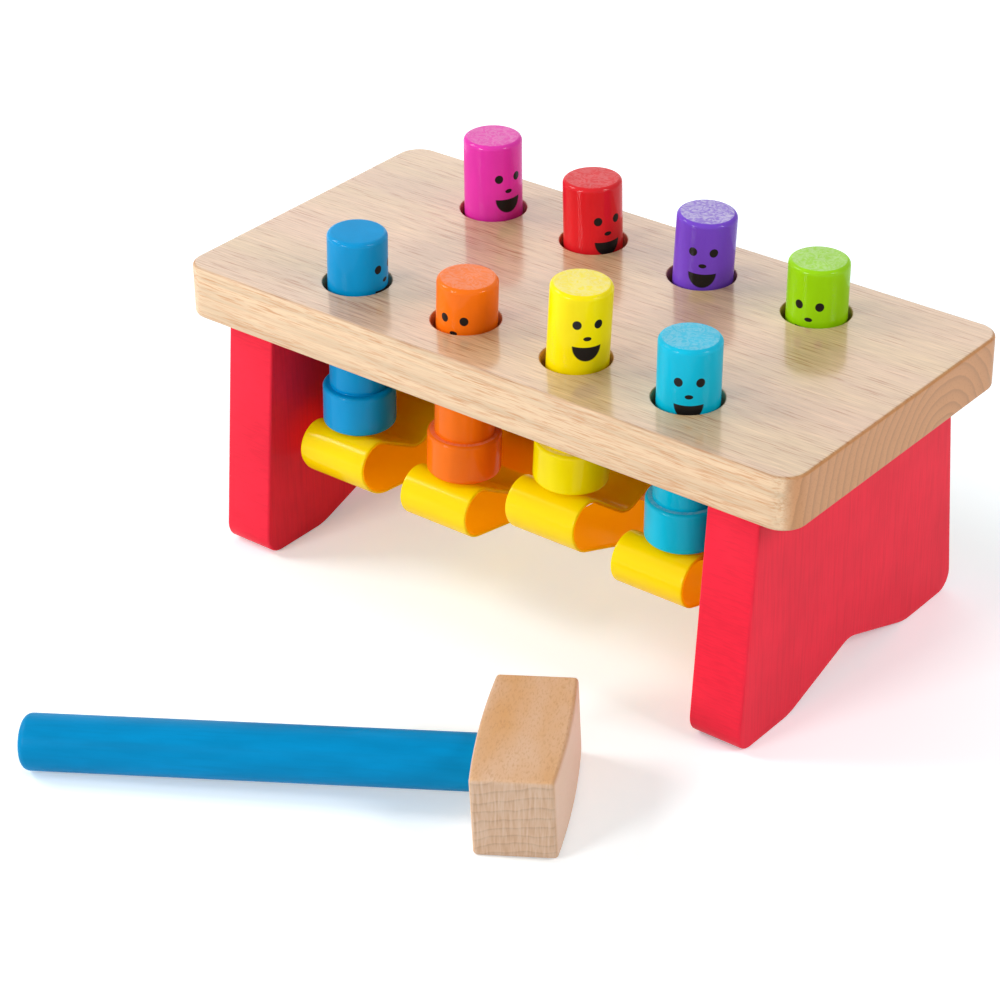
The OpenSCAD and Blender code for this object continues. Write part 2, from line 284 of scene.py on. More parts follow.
def piece(name, sheets, body, nodes, material, unrolled=None):
    """Joins sheets of points in millimetres into one closed mesh with its faces outwards. Each
    sheet is (points, goes round by rows, goes round by columns). unrolled is a flat map of the
    first sheet. The piece rides on its body and replaces its CAD nodes."""
    points, faces, count, flat = [], [], 0, None
    for grid, close_rows, close_columns in sheets:
        rows, columns = grid.shape[:2]
        cells, open_cells = quads(rows, columns, close_rows, close_columns)
        if flat is None and unrolled is not None:
            flat = unrolled.reshape(-1, 2)[open_cells]
        points.append(grid.reshape(-1, 3))
        faces.append(cells + count)
        count += rows * columns
    mesh = bpy.data.meshes.new(name)
    mesh.from_pydata(np.concatenate(points) * MM, [], np.concatenate(faces).tolist())
    if flat is not None:
        mesh.uv_layers.new(name="print").data.foreach_set("uv", flat.ravel())
    work = bmesh.new()
    work.from_mesh(mesh)
    bmesh.ops.remove_doubles(work, verts=work.verts, dist=MERGE)
    bmesh.ops.recalc_face_normals(work, faces=work.faces)
    work.to_mesh(mesh)
    work.free()
    mesh.polygons.foreach_set("use_smooth", np.ones(len(mesh.polygons), bool))
    mesh.materials.append(material)
    made = bpy.data.objects.new(name, mesh)
    bpy.context.scene.collection.objects.link(made)
    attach(made, body)
    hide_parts(*nodes)
    return made


def lathe(profile, origin, axis, side, start, turns):
    """A turned shape: each profile point (radius, height) goes round the axis, origin plus
    height times the axis plus radius times the turning unit vector."""
    axis, side = unit(np.array(axis, float)), unit(np.array(side, float))
    third = np.cross(axis, side)
    angles = start + np.arange(turns) * 2 * math.pi / turns
    round_it = np.cos(angles)[:, None] * side + np.sin(angles)[:, None] * third
    radius, height = profile[:, 0, None, None], profile[:, 1, None, None]
    return np.asarray(origin) + height * axis + radius * round_it


def add(tree, kind, inputs=None, stops=None, **settings):
    """Adds one shader node, sets its settings, and gives each input a value, or a link to a socket
    or to a node's live output. stops are the places and colours of a colour ramp."""
    made = tree.nodes.new("ShaderNode" + kind)
    for name, value in settings.items():
        setattr(made, name, value)
    for name, value in (inputs or {}).items():
        socket = made.inputs[name]
        if isinstance(value, bpy.types.Node):
            value = next(output for output in value.outputs if output.enabled)
        if isinstance(value, bpy.types.NodeSocket):
            tree.links.new(value, socket)
        elif socket.type == "RGBA":
            socket.default_value = (*value[:3], 1)
        else:
            socket.default_value = value
    if stops:
        elements = made.color_ramp.elements
        while len(elements) < len(stops):
            elements.new(0.5)
        for element, (place, value) in zip(elements, stops):
            element.position = place
            element.color = (value, value, value, 1) if isinstance(value, float) else (*value, 1)
    return made


def new_material(name, **sockets):
    """A material with one Principled shader, whose constant values are set on its sockets."""
    made = bpy.data.materials.new(name)
    made.use_nodes = True
    shader = made.node_tree.nodes["Principled BSDF"]
    for socket, value in sockets.items():
        shader.inputs[socket.replace("_", " ")].default_value = value
    return made, made.node_tree, shader


def finish(tree, shader, paint, height, strength, depth_mm):
    """Gives the shader its colour, and a relief of this height in millimetres."""
    tree.links.new(next(o for o in paint.outputs if o.enabled), shader.inputs["Base Color"])
    relief = add(tree, "Bump", {"Height": height, "Strength": strength, "Distance": depth_mm * MM})
    tree.links.new(relief.outputs[0], shader.inputs["Normal"])


def shade(value, factor):
    """A colour made darker or lighter by a factor."""
    return tuple(min(1.0, v * factor) for v in value)


def fibres(tree, at, per_metre, detail=2.0, roughness=0.5, twist=0.0):
    """Noise drawn out along the grain: per_metre is the number of its waves in a metre, along
    each axis. twist bends it into swirls."""
    drawn = add(tree, "Mapping", {"Vector": at, "Scale": per_metre})
    return add(tree, "TexNoise", {"Vector": drawn, "Scale": 1.0, "Detail": detail,
                                  "Roughness": roughness, "Distortion": twist})


def stained(tree, under, pattern, low, high, most, stain):
    """Lays a colour over the one under it: none of it where the pattern is below low, and this
    much where it is above high. Returns the colour and the mask."""
    mask = add(tree, "ValToRGB", {0: pattern}, stops=[(low, 0.0), (high, most)])
    return add(tree, "Mix", {0: mask, 6: under, 7: stain}, data_type="RGBA"), mask


def lacquered_board(colours):
    """Rubberwood, sanded and lacquered to a satin shine: fine long streaks on its top, short brown
    pores on its front, arched growth rings on its ends. The lacquer mirrors the pegs softly, and
    a dark orange line runs along the rounded upper edges of the ends."""
    made, tree, shader = new_material("rubberwood_satin_lacquer", Roughness=0.5,
                                      Specular_IOR_Level=0.3, Coat_Roughness=0.15, Coat_IOR=1.6)
    place = add(tree, "TexCoord")
    at = place.outputs["Object"]
    facing = add(tree, "SeparateXYZ", {0: place.outputs["Normal"]})
    sides = [add(tree, "Math", {0: facing.outputs[k]}, operation="ABSOLUTE") for k in (0, 1)]
    end, front = [add(tree, "ValToRGB", {0: side}, stops=[(0.5, 0.0), (0.85, 1.0)])
                  for side in sides]
    # The edges were sanded after lacquering, so they are duller
    flat = add(tree, "ValToRGB", {0: facing.outputs[2]}, stops=[(0.90, 0.10), (0.995, 0.88)])
    tree.links.new(flat.outputs[0], shader.inputs["Coat Weight"])
    # Streaks 0.7 mm apart and 15 mm long, over softer ones 3 mm apart
    fine = fibres(tree, at, (65, 1500, 1500), 2.5, 0.6)
    soft = fibres(tree, at, (9, 330, 330), 3.0, 0.6)
    streaks = add(tree, "Mix", {0: 0.7, 6: soft, 7: fine}, data_type="RGBA")
    top, edge, cut = colours.wood, colours.wood_edge, colours.wood_end
    plain = add(tree, "ValToRGB", {0: streaks},
                stops=[(0.36, linear("A87349")), (0.45, shade(top, 0.92)),
                       (0.55, shade(top, 1.06)), (0.66, shade(top, 1.24))])
    # Pinkish and yellowish zones some 20 mm wide
    zones = fibres(tree, at, (4, 45, 45), 2.0)
    toned = add(tree, "ValToRGB", {0: zones},
                stops=[(0.35, linear("FFF1E8")), (0.65, linear("FBF4DE"))])
    wood = add(tree, "Mix", {0: 1.0, 6: plain, 7: toned}, data_type="RGBA", blend_type="MULTIPLY")
    # Single darker veins 1 mm wide
    veins = fibres(tree, at, (26, 620, 620), 3.0)
    wood, _ = stained(tree, wood, veins, 0.60, 0.74, 0.55, linear("B98D73"))
    # The front: cream, with brown pores 0.4 mm wide and 5 mm long that lie in drifts
    pores = fibres(tree, at, (110, 2000, 2000), 2.5, 0.6)
    pores = add(tree, "ValToRGB", {0: pores}, stops=[(0.47, 0.0), (0.66, 0.7)])
    drifts = fibres(tree, at, (22, 150, 150), 2.0)
    drifts = add(tree, "ValToRGB", {0: drifts}, stops=[(0.38, 0.35), (0.60, 1.0)])
    pores = add(tree, "Math", {0: pores, 1: drifts}, operation="MULTIPLY")
    cream = add(tree, "ValToRGB", {0: soft}, stops=[(0.36, shade(edge, 0.86)),
                                                    (0.60, shade(edge, 1.07))])
    cream = add(tree, "Mix", {0: pores, 6: cream, 7: linear("CB8A58")}, data_type="RGBA")
    wood = add(tree, "Mix", {0: front, 6: wood, 7: cream}, data_type="RGBA")
    # The ends: growth rings 4 mm apart round the tree's heart, behind and under the middle of the
    # board, and pores 0.4 mm wide
    heart_y, heart_z = BENCH_Y + 26, 79
    heart = add(tree, "Mapping", {"Vector": at, "Scale": (0.05, 1, 1),
                                  "Location": (0, -heart_y * MM, -heart_z * MM)})
    rings = add(tree, "TexWave", {"Vector": heart, "Scale": 75.0, "Distortion": 3.5, "Detail": 3.0,
                                  "Detail Scale": 0.7}, wave_type="RINGS", rings_direction="X",
                wave_profile="SAW")
    rings = add(tree, "ValToRGB", {0: rings},
                stops=[(0.0, shade(cut, 1.08)), (0.6, tuple(cut)), (0.90, shade(cut, 0.84)),
                       (1.0, shade(cut, 1.06))])
    specks = fibres(tree, at, (1400, 1400, 1400), 2.0)
    rings, _ = stained(tree, rings, specks, 0.54, 0.70, 0.35, linear("B07C4E"))
    wood = add(tree, "Mix", {0: end, 6: wood, 7: rings}, data_type="RGBA")
    # A dark orange line along the rounded upper edge of the ends, placed by the way the surface
    # faces
    upper = add(tree, "Math", {0: sides[0], 1: facing.outputs[2]}, operation="MULTIPLY")
    wood, _ = stained(tree, wood, upper, 0.20, 0.42, 0.6, linear("C07A35"))
    height = add(tree, "Math", {0: 0.0, 1: pores}, operation="SUBTRACT")
    finish(tree, shader, wood, height, 0.15, 0.06)
    return made


def enamelled_legs(colours):
    """Red enamel sprayed thinly over sanded wood: satin, with the grain just showing as fine
    lines across the narrow faces and up the wide ones."""
    made, tree, shader = new_material("red_satin_enamel", Roughness=0.45, Specular_IOR_Level=0.05,
                                      Coat_Weight=0.15, Coat_Roughness=0.16, Coat_IOR=1.4)
    place = add(tree, "TexCoord")
    at = place.outputs["Object"]
    facing = add(tree, "SeparateXYZ", {0: place.outputs["Normal"]})
    wide_face = add(tree, "Math", {0: facing.outputs[0]}, operation="ABSOLUTE")
    # Grain lines 0.7 mm apart
    grain = add(tree, "Mix", {0: wide_face, 6: fibres(tree, at, (160, 1400, 1400), 3.0),
                              7: fibres(tree, at, (1400, 1100, 55), 3.0)}, data_type="RGBA")
    # Uneven cover, in clouds some 25 mm wide
    cloud = fibres(tree, at, (40, 40, 40), 3.0)
    base = tuple(colours.leg_red)
    paint = add(tree, "ValToRGB", {0: cloud},
                stops=[(0.3, shade(base, 0.93)), (0.7, shade(base, 1.05))])
    paint, _ = stained(tree, paint, grain, 0.42, 0.72, 0.22, linear("C01A2E"))
    finish(tree, shader, paint, grain, 0.16, 0.12)
    return made


def oval(tree, across, down, at_x, at_y, half_axes):
    """One where the map lies in an oval, zero outside: the squares of the two distances over
    the half axes add up to less than one. The border is softened over 7 percent."""
    parts = []
    for socket, middle, half in zip((across, down), (at_x, at_y), half_axes):
        shifted = add(tree, "Math", {0: socket, 1: middle}, operation="SUBTRACT")
        scaled = add(tree, "Math", {0: shifted, 1: half}, operation="DIVIDE")
        parts.append(add(tree, "Math", {0: scaled, 1: 2.0}, operation="POWER"))
    total = add(tree, "Math", {0: parts[0], 1: parts[1]}, operation="ADD")
    return add(tree, "MapRange", {0: total, 1: 0.93, 2: 1.07, 3: 1.0, 4: 0.0})


def printed_face(tree):
    """The mask of the printed face on a peg, in centimetres on the peg's own map: two dots for
    eyes, a small oval nose, and a half disc for the mouth. It is a plain smiling face."""
    at = add(tree, "UVMap", uv_map="print")
    split = add(tree, "SeparateXYZ", {0: at})
    across, down = split.outputs[0], split.outputs[1]
    sideways = add(tree, "Math", {0: across}, operation="ABSOLUTE")
    eyes = oval(tree, sideways, down, EYE_OUT, 0.0, EYE_HALF)
    nose = oval(tree, across, down, 0.0, NOSE_DOWN, NOSE_HALF)
    disc = oval(tree, across, down, 0.0, MOUTH_DOWN, MOUTH_HALF)
    square = add(tree, "Math", {0: across, 1: 2.0}, operation="POWER")
    lip = add(tree, "Math", {0: square, 1: -LIP_BOW, 2: LIP_DOWN}, operation="MULTIPLY_ADD")
    below = add(tree, "Math", {0: down, 1: lip}, operation="SUBTRACT")
    below = add(tree, "MapRange", {0: below, 1: -0.008, 2: 0.008})
    mouth = add(tree, "Math", {0: disc, 1: below}, operation="MULTIPLY")
    both = add(tree, "Math", {0: eyes, 1: nose}, operation="MAXIMUM")
    return add(tree, "Math", {0: both, 1: mouth}, operation="MAXIMUM")


def enamelled_peg(name, value, painted_top_sheen):
    """Gloss enamel over a turned peg: a clear deep colour with slight runs, a painted reflection
    of the white surroundings that whitens the flat top, broken by the brush's swirls, and a face
    printed in black ink."""
    made, tree, shader = new_material(name + "_gloss_enamel", Roughness=0.4,
                                      Specular_IOR_Level=0.02, Coat_Roughness=0.06, Coat_IOR=1.4)
    place = add(tree, "TexCoord")
    at = place.outputs["Object"]
    facing = add(tree, "SeparateXYZ", {0: place.outputs["Normal"]})
    top = add(tree, "ValToRGB", {0: facing.outputs[2]}, stops=[(0.95, 0.0), (0.99, 1.0)])
    # The end grain soaks up the enamel, so the top is duller
    gloss = add(tree, "MapRange", {0: top, 3: 0.40, 4: 0.1})
    tree.links.new(gloss.outputs[0], shader.inputs["Coat Weight"])
    # Runs in the paint some 8 mm wide, down the peg
    runs = fibres(tree, at, (130, 130, 30), 3.0)
    base = tuple(value)
    paint = add(tree, "ValToRGB", {0: runs}, stops=[(0.3, shade(base, 0.93)),
                                                    (0.7, shade(base, 1.05))])
    # Swirls of the brush, 3 mm wide
    swirl = fibres(tree, at, (300, 300, 300), 3.0, 0.6, 2.5)
    # Painted reflection of the white surroundings whitens the flat top, most where the swirls lie
    painted_sheen = add(tree, "MapRange", {0: swirl, 1: 0.40, 2: 0.62, 3: 0.5 * painted_top_sheen,
                                    4: 1.5 * painted_top_sheen})
    painted_sheen = add(tree, "Math", {0: painted_sheen, 1: top}, operation="MULTIPLY")
    paint = add(tree, "Mix", {0: painted_sheen, 6: paint, 7: linear("F4F4F4")}, data_type="RGBA")
    paint = add(tree, "Mix", {0: printed_face(tree), 6: paint, 7: linear("1E1A19")},
                data_type="RGBA")
    ripple = add(tree, "Math", {0: swirl, 1: top}, operation="MULTIPLY")
    ripple = add(tree, "Math", {0: ripple, 1: runs}, operation="ADD")
    finish(tree, shader, paint, ripple, 0.15, 0.15)
    return made


def moulded_plastic(colours):
    """Yellow polypropylene strip, moulded and polished. Much of the light that falls on it passes
    through, and its inner faces are given a deeper amber and pass more light: painted shade and
    light for the amber inside the loops."""
    made, tree, shader = new_material("yellow_polypropylene", Roughness=0.3,
                                      Specular_IOR_Level=0.04, Coat_Roughness=0.12, Coat_IOR=1.5)
    place = add(tree, "TexCoord")
    at = place.outputs["Object"]
    # The outside of each half of the strip faces away from a point in its hollow
    hollow = (0, -BENCH_Y * MM, -(ROD_H + HOLLOW_UP) * MM)
    from_rod = add(tree, "Mapping", {"Vector": at, "Location": hollow})
    from_rod = add(tree, "SeparateXYZ", {0: from_rod})
    half = add(tree, "Math", {0: from_rod.outputs[1]}, operation="SIGN")
    out = add(tree, "Math", {0: half, 1: -HOLLOW_OUT * MM, 2: from_rod.outputs[1]},
              operation="MULTIPLY_ADD")
    from_half = add(tree, "CombineXYZ", {1: out, 2: from_rod.outputs[2]})
    outwards = add(tree, "VectorMath", {0: from_half, 1: place.outputs["Normal"]},
                   operation="DOT_PRODUCT").outputs["Value"]
    outside = add(tree, "MapRange", {0: outwards, 1: -0.5 * MM, 2: 0.5 * MM})
    gloss = add(tree, "MapRange", {0: outside, 3: 0.05, 4: 0.45})
    tree.links.new(gloss.outputs[0], shader.inputs["Coat Weight"])
    # Flow lines of the melt, 4 mm apart
    flow = fibres(tree, at, (30, 260, 260), 2.0)
    base = tuple(colours.plastic)
    tint = add(tree, "ValToRGB", {0: flow}, stops=[(0.3, shade(base, 0.97)),
                                                   (0.7, shade(base, 1.03))])
    finish(tree, shader, tint, flow, 0.1, 0.1)
    # Painted shade and light: the inner faces pass light on in a deeper amber, and more of it
    amber = add(tree, "Mix", {0: outside, 6: linear("FFC200"), 7: linear("FFDC00")},
                data_type="RGBA")
    through = add(tree, "BsdfTranslucent", {"Color": amber})
    share = add(tree, "MapRange", {0: outside, 3: 0.8, 4: 0.38})
    both = add(tree, "MixShader", {0: share, 1: shader, 2: through})
    tree.links.new(both.outputs[0], tree.nodes["Material Output"].inputs["Surface"])
    return made


def lacquered_beech(colours):
    """Steamed beech, sanded and thinly lacquered: short dark flecks along the grain of the head,
    and growth bands with fine rays on its two striking faces."""
    made, tree, shader = new_material("beech_satin_lacquer", Roughness=0.5,
                                      Specular_IOR_Level=0.15, Coat_Weight=0.1, Coat_Roughness=0.3)
    place = add(tree, "TexCoord")
    # The grain runs along the head, which is turned on the floor
    own, facing = [add(tree, "Mapping", {"Vector": place.outputs[name],
                                         "Rotation": (0, 0, -MALLET_TURN)})
                   for name in ("Object", "Normal")]
    facing = add(tree, "SeparateXYZ", {0: facing})
    end = add(tree, "Math", {0: facing.outputs[1]}, operation="ABSOLUTE")
    end = add(tree, "ValToRGB", {0: end}, stops=[(0.55, 0.0), (0.9, 1.0)])
    base = tuple(colours.beech)
    # Broad zones, yellower and darker in places
    cloud = fibres(tree, own, (60, 22, 60), 3.0)
    wood = add(tree, "ValToRGB", {0: cloud}, stops=[(0.35, shade(base, 1.02)),
                                                    (0.7, linear("D6A26C"))])
    # Flecks 0.3 mm wide and 1.5 mm long
    flecks = fibres(tree, own, (1900, 600, 1900), 2.0)
    plain, flecks = stained(tree, wood, flecks, 0.50, 0.72, 0.5, linear("BE8C5E"))
    # The long sides are made paler and pinker: partly the wood's own tone there, partly painted
    # light
    side = add(tree, "Math", {0: facing.outputs[0]}, operation="ABSOLUTE")
    plain, _ = stained(tree, plain, side, 0.6, 0.9, 0.75, linear("E8CAB4"))
    # Growth bands about 3 mm apart, nearly level on the striking faces
    bands = add(tree, "Mapping", {"Vector": own, "Scale": (1, 0.08, 1), "Rotation": (0, 0.16, 0)})
    bands = add(tree, "TexWave", {"Vector": bands, "Scale": 95.0, "Distortion": 7.0, "Detail": 3.0,
                                  "Detail Scale": 0.6}, wave_type="BANDS", bands_direction="Z",
                wave_profile="SAW")
    grained = add(tree, "ValToRGB", {0: bands},
                  stops=[(0.0, shade(base, 0.9)), (0.7, shade(base, 0.85)),
                         (0.92, shade(base, 0.72)), (1.0, shade(base, 0.88))])
    # Rays 0.6 mm apart, upright on the striking faces
    rays = fibres(tree, own, (1500, 60, 160), 2.0)
    grained, _ = stained(tree, grained, rays, 0.42, 0.70, 0.5, linear("DDC5B0"))
    dark = add(tree, "ValToRGB", {0: rays}, stops=[(0.30, 0.25), (0.44, 0.0)])
    grained = add(tree, "Mix", {0: dark, 6: grained, 7: linear("AD8664")}, data_type="RGBA")
    wood = add(tree, "Mix", {0: end, 6: plain, 7: grained}, data_type="RGBA")
    height = add(tree, "Mix", {0: end, 6: flecks, 7: bands}, data_type="RGBA")
    finish(tree, shader, wood, height, 0.15, 0.08)
    return made


def enamelled_handle(colours):
    """Blue satin enamel over a turned birch dowel: the grain shows as fine lines along the
    handle, under cloudy cover."""
    made, tree, shader = new_material("blue_satin_enamel", Roughness=0.42, Specular_IOR_Level=0.04,
                                      Coat_Weight=0.05, Coat_Roughness=0.3, Coat_IOR=1.4)
    at = add(tree, "TexCoord").outputs["Object"]
    own = add(tree, "Mapping", {"Vector": at, "Rotation": (0, 0, -MALLET_TURN)})
    # Grain lines 0.9 mm apart and 20 mm long, and clouds 6 mm wide
    grain = fibres(tree, own, (45, 1100, 1100), 3.0)
    cloud = fibres(tree, own, (40, 170, 170), 4.0)
    base = tuple(colours.blue)
    paint = add(tree, "ValToRGB", {0: cloud},
                stops=[(0.32, shade(base, 0.74)), (0.68, shade(base, 0.88))])
    paint, _ = stained(tree, paint, grain, 0.5, 0.75, 0.3, shade(base, 0.6))
    finish(tree, shader, paint, grain, 0.15, 0.12)
    return made


def bare_dowel(colours, name, lengthwise):
    """Turned hardwood dowel without finish: fine grain along its length, which is one of the
    three axes, and a dry surface."""
    made, tree, shader = new_material(name, Roughness=0.6)
    at = add(tree, "TexCoord").outputs["Object"]
    stretch = [700.0, 700.0, 700.0]
    stretch[lengthwise] = 25.0
    grain = fibres(tree, at, stretch, 4.0)
    base = tuple(colours.dowel)
    wood = add(tree, "ValToRGB", {0: grain}, stops=[(0.3, shade(base, 0.78)),
                                                    (0.7, shade(base, 1.08))])
    finish(tree, shader, wood, grain, 0.3, 0.15)
    return made


def cell_outline(low, high, rounded, radius, steps, corner_steps):
    """Outline of one cell of the board, anticlockwise from its first corner. A corner that is
    also the board's is an arc of this radius."""
    low, high = np.array(low), np.array(high)
    corners = np.array([low, (high[0], low[1]), high, (low[0], high[1])])
    pieces = []
    for k in range(4):
        here, there = corners[k], corners[(k + 1) % 4]
        ahead = unit(there - here)
        start = here + ahead * radius * rounded[k]
        end = there - ahead * radius * rounded[(k + 1) % 4]
        pieces.append(line(start, end, steps))
        if rounded[(k + 1) % 4]:
            inward = np.array([-ahead[1], ahead[0]])
            centre = end + inward * radius
            first = math.atan2(*(-inward)[::-1])
            pieces.append(arc(centre, radius, first, first + math.pi / 2, corner_steps)[:-1])
    return np.concatenate(pieces)


def at_height(outline, height):
    """A flat outline on the bench, at one height."""
    return np.concatenate([outline + [0, BENCH_Y], np.full((len(outline), 1), height)], 1)


def board_sheets(sizes):
    """The board: on its top and underside each cell is a band of rings from the cell's outline
    to the rim of its hole, the rim and edges are quarter circles swept along their outlines."""
    edge, rim = sizes.board_edge / MM, sizes.hole_rim / MM
    corner, hole_r = sizes.board_corner / MM, sizes.hole_d / MM / 2
    steps, corner_steps, bend = 24, 10, 5
    lefts = [-HALF_L + edge, *BOARD_CUTS]
    rights = [*BOARD_CUTS, HALF_L - edge]
    shares = np.array([0, 0.012, 0.2, 0.45, 0.7, 0.9, 0.985, 1])[:, None, None]
    quarter = np.linspace(0, math.pi / 2, bend + 1)
    sheets = []
    for _, x, row, *_ in PEGS:
        k = sum(x > cut for cut in BOARD_CUTS)
        near = row < 0
        low = (lefts[k], -HALF_D + edge if near else 0.0)
        high = (rights[k], 0.0 if near else HALF_D - edge)
        rounded = [near and k == 0, near and k == 3, not near and k == 3, not near and k == 0]
        outline = cell_outline(low, high, rounded, corner - edge, steps, corner_steps)
        middle = np.array([x, row * HALF_ROW_GAP])
        first = math.atan2(*(outline[0] - middle)[::-1])
        ways = turned(first + np.arange(len(outline)) * 2 * math.pi / len(outline))
        mouth = middle + (hole_r + rim) * ways
        rings = outline * (1 - shares) + mouth * shares
        for height in (TOP_H, UNDER_H):
            sheets.append((np.stack([at_height(r, height) for r in rings]), False, True))
        radii = hole_r + rim * (1 - np.sin(quarter))
        drop = rim * (1 - np.cos(quarter))
        radii = np.concatenate([radii, radii[::-1]])
        heights = np.concatenate([TOP_H - drop, UNDER_H + drop[::-1]])
        wall = [at_height(middle + r * ways, h) for r, h in zip(radii, heights)]
        sheets.append((np.stack(wall), False, True))
    # The outer edge follows the same points as the cells do
    inner, out = [], []
    stops = [[-HALF_L + corner, *BOARD_CUTS, HALF_L - corner],
             [-HALF_D + corner, 0.0, HALF_D - corner]]
    for side in range(4):
        ahead = np.round(turned(side * math.pi / 2), 9)
        outward = np.array([ahead[1], -ahead[0]])
        reach = (HALF_D if side % 2 == 0 else HALF_L) - edge
        run = np.array(stops[side % 2])
        if side >= 2:
            run = run[::-1]
        along_axis = np.abs(ahead)
        points = [along_axis * a + outward * reach for a in run]
        for a, b in zip(points[:-1], points[1:]):
            inner.append(line(a, b, steps))
            out.append(np.tile(outward, (steps, 1)))
        first = math.atan2(outward[1], outward[0])
        centre = points[-1] - outward * (corner - edge)
        angles = np.linspace(first, first + math.pi / 2, corner_steps + 1)[:-1]
        inner.append(centre + (corner - edge) * turned(angles))
        out.append(turned(angles))
    inner, out = np.concatenate(inner), np.concatenate(out)
    push = edge * np.sin(quarter)
    drop = edge * (1 - np.cos(quarter))
    between = TOP_H - edge - np.linspace(0.06, 0.94, 4) * (TOP_H - UNDER_H - 2 * edge)
    heights = np.concatenate([TOP_H - drop, between, UNDER_H + drop[::-1]])
    push = np.concatenate([push, np.full(len(between), edge), push[::-1]])
    wall = [at_height(inner + out * p, h) for p, h in zip(push, heights)]
    sheets.append((np.stack(wall), False, True))
    return sheets


def leg_sheets(side, sizes):
    """A leg: its outline is carried across the board's thickness with quarter-circle edges, and
    each flat face is a patch between the four parts of the outline."""
    edge = sizes.leg_edge / MM
    path = even(rounded_line(LEG_OUTLINE, 24), 1.8)
    step = np.gradient(path, axis=0)
    inward = unit(np.stack([-step[:, 1], step[:, 0]], -1))
    inward[0], inward[-1] = (1, 0), (-1, 0)
    foot = int(np.argmin(np.linalg.norm(path - LEG_OUTLINE[1][:2], axis=1)))
    across = len(path) - 2 * foot
    top = np.stack([np.linspace(-LEG_HALF_TOP, LEG_HALF_TOP, across),
                    np.full(across, UNDER_H)], -1)
    top_in = np.stack([-top[:, 0] / LEG_HALF_TOP, np.zeros(across)], -1)
    loop = np.concatenate([path, top[-2:0:-1]])
    loop_in = np.concatenate([inward, top_in[-2:0:-1]])
    quarter = np.linspace(0, math.pi / 2, 5)
    inset = edge * (1 - np.sin(quarter))
    over = edge * (1 - np.cos(quarter))
    insets = np.concatenate([inset, inset[::-1]])
    places = np.concatenate([LEG_IN + over, LEG_OUT - over[::-1]])

    def placed(points, x):
        points = np.minimum(points, [np.inf, UNDER_H])
        return np.concatenate([np.full((*points.shape[:-1], 1), side * x),
                               points + [BENCH_Y, 0]], -1)

    belt = np.stack([placed(loop + loop_in * i, x) for i, x in zip(insets, places)])
    near = path + inward * edge
    upper = top + top_in * edge
    face = patch(upper, near[foot:len(path) - foot], near[:foot + 1], near[::-1][:foot + 1])
    return [(belt, False, True), (placed(face, LEG_IN), False, False),
            (placed(face, LEG_OUT), False, False)]


def rod_sheets(sizes):
    """The rod: a turned profile with small chamfers, laid along the bench in its sockets."""
    radius, cut = sizes.rod_d / MM / 2, 0.8
    reach = ROD_REACH
    profile = np.array([(0, -reach), (radius - cut, -reach), (radius, -reach + cut),
                        (radius, -reach + 2 * cut), (radius, 0), (radius, reach - 2 * cut),
                        (radius, reach - cut), (radius - cut, reach), (0, reach)])
    return [(lathe(profile, (0, BENCH_Y, ROD_H), (1, 0, 0), (0, 1, 0), 0, 64), False, True)]


def strip_path(rise, lower_r, belly_drop):
    """The middle line of a plastic loop and its outward directions. It runs like a belt of
    straight tangents and arcs: over the saddle, under the valley, round the lobe in two radii
    and back through the belly, then the same way mirrored."""
    lobe = np.array([LOBE_OUT, rise])
    valley = np.array([VALLEY_OUT, rise - VALLEY_DROP + VALLEY_R])
    lower = lobe - (lower_r - LOBE_R) * turned(-LOBE_JOIN)
    belly = np.array([0, BELLY_R - belly_drop])

    def heading(v):
        return math.atan2(v[1], v[0])

    right = math.pi / 2
    down = math.asin((SADDLE_R + VALLEY_R) / np.linalg.norm(valley)) - heading(valley)
    up = (math.asin((LOBE_R + VALLEY_R) / np.linalg.norm(lobe - valley))
          + heading(lobe - valley))
    slope = (math.asin((BELLY_R - lower_r) / np.linalg.norm(lower - belly))
             + heading(lower - belly))
    arcs = [((0, 0), SADDLE_R, right, right - down, 1),
            (valley, VALLEY_R, 3 * right - down, 3 * right + up, -1),
            (lobe, LOBE_R, right + up, -LOBE_JOIN, 1),
            (lower, lower_r, -LOBE_JOIN, slope - right, 1),
            (belly, BELLY_R, slope - right, -right, 1)]
    finest, bend, gap_step = 0.9, 0.07, 1.5
    points, outs = [], []
    for centre, radius, start, end, sign in arcs:
        steps = max(6, round(abs(end - start) * radius / finest), round(abs(end - start) / bend))
        angles = np.linspace(start, end, steps + 1)
        run = np.asarray(centre) + radius * turned(angles)
        out = sign * turned(angles)
        if points:
            gap = np.linalg.norm(run[0] - points[-1][-1])
            if gap > 0.5:
                fill = line(points[-1][-1], run[0], max(2, round(gap / gap_step)))[1:]
                points.append(fill)
                outs.append(np.tile(out[0], (len(fill), 1)))
            else:
                run, out = run[1:], out[1:]
        points.append(run)
        outs.append(out)
    points, outs = np.concatenate(points), np.concatenate(outs)
    mirror = np.array([-1, 1])
    return (np.concatenate([points, points[-2:0:-1] * mirror]),
            np.concatenate([outs, outs[-2:0:-1] * mirror]))


